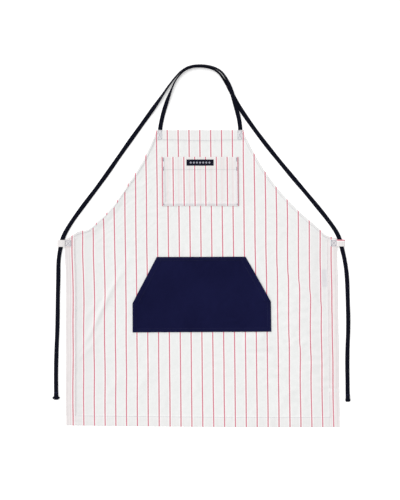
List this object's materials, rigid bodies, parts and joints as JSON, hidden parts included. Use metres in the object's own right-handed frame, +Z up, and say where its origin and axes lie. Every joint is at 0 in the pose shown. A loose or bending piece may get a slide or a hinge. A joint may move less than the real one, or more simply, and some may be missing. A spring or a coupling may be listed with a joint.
{
  "type": "butcher apron",
  "caption": "Cross-back butcher apron in striped cotton, laid flat: bib and navy hand pockets, side loops, and two braided straps round the neck with free tails.",
  "frame": {"origin": "centre of the cloth panel, on the surface that the apron lies on", "axes": "+Z up out of the face of the cloth, +Y from the hem towards the bib, +X to the right as seen from the front"},
  "size_m": [0.767, 0.9382, 0.0094],
  "materials": {
    "striped_cloth": "matt off-white cotton twill with narrow red stripes",
    "navy_cloth": "matt navy cotton twill",
    "navy_braid": "flat tubular braid, matt, nearly black navy",
    "label_weave": "fine woven navy label, slight sheen",
    "label_satin": "thin white satin tape",
    "grey_thread": "spun polyester sewing thread",
    "dark_thread": "spun polyester sewing thread, close stitched",
    "navy_thread": "spun polyester sewing thread"
  },
  "bodies": {
    "apron": {"apron_panel": "striped_cloth", "armhole_hem_left": "striped_cloth", "armhole_hem_right": "striped_cloth", "bib_top_hem": "striped_cloth", "bottom_hem": "striped_cloth", "box_stitch_anchor_left": "dark_thread", "box_stitch_anchor_right": "dark_thread", "box_stitch_loop_left": "dark_thread", "box_stitch_loop_right": "dark_thread", "care_label": "label_satin", "chest_pocket": "striped_cloth", "chest_pocket_top_hem": "striped_cloth", "chest_pocket_turning_bottom": "striped_cloth", "chest_pocket_turning_left": "striped_cloth", "chest_pocket_turning_right": "striped_cloth", "hand_pocket": "navy_cloth", "hand_pocket_mouth_hem_left": "navy_cloth", "hand_pocket_mouth_hem_right": "navy_cloth", "hand_pocket_turning_bottom": "navy_cloth", "hand_pocket_turning_left": "navy_cloth", "hand_pocket_turning_right": "navy_cloth", "hand_pocket_turning_top": "navy_cloth", "left_strap": "navy_braid", "right_strap": "navy_braid", "seam_armhole_left": "grey_thread", "seam_armhole_right": "grey_thread", "seam_bib_hem": "grey_thread", "seam_bottom_hem": "grey_thread", "seam_chest_pocket": "grey_thread", "seam_hand_pocket": "navy_thread", "seam_hand_pocket_mouths": "navy_thread", "seam_side_hem_left": "grey_thread", "seam_side_hem_right": "grey_thread", "seam_woven_label": "navy_thread", "side_hem_left": "striped_cloth", "side_hem_right": "striped_cloth", "side_loop_left": "striped_cloth", "side_loop_right": "striped_cloth", "strap_anchor_left": "navy_braid", "strap_anchor_right": "navy_braid", "tacks_chest_pocket": "dark_thread", "woven_label": "label_weave"},
    "left_tail": {"left_strap_tail": "navy_braid", "left_tie_end": "navy_braid", "left_tie_end_tack": "navy_thread"},
    "right_tail": {"right_strap_tail": "navy_braid", "right_tie_end": "navy_braid", "right_tie_end_tack": "navy_thread"}
  },
  "joints": [
    {"name": "left_tail_swing", "type": "hinge", "parent": "apron", "child": "left_tail", "pos_m": [-0.3619, 0.07217, 0.00295], "axis": [0, 0, 1], "range_deg": [-50, 2]},
    {"name": "right_tail_swing", "type": "hinge", "parent": "apron", "child": "right_tail", "pos_m": [0.3618, 0.07215, 0.00295], "axis": [0, 0, 1], "range_deg": [-2, 50]}
  ]
}
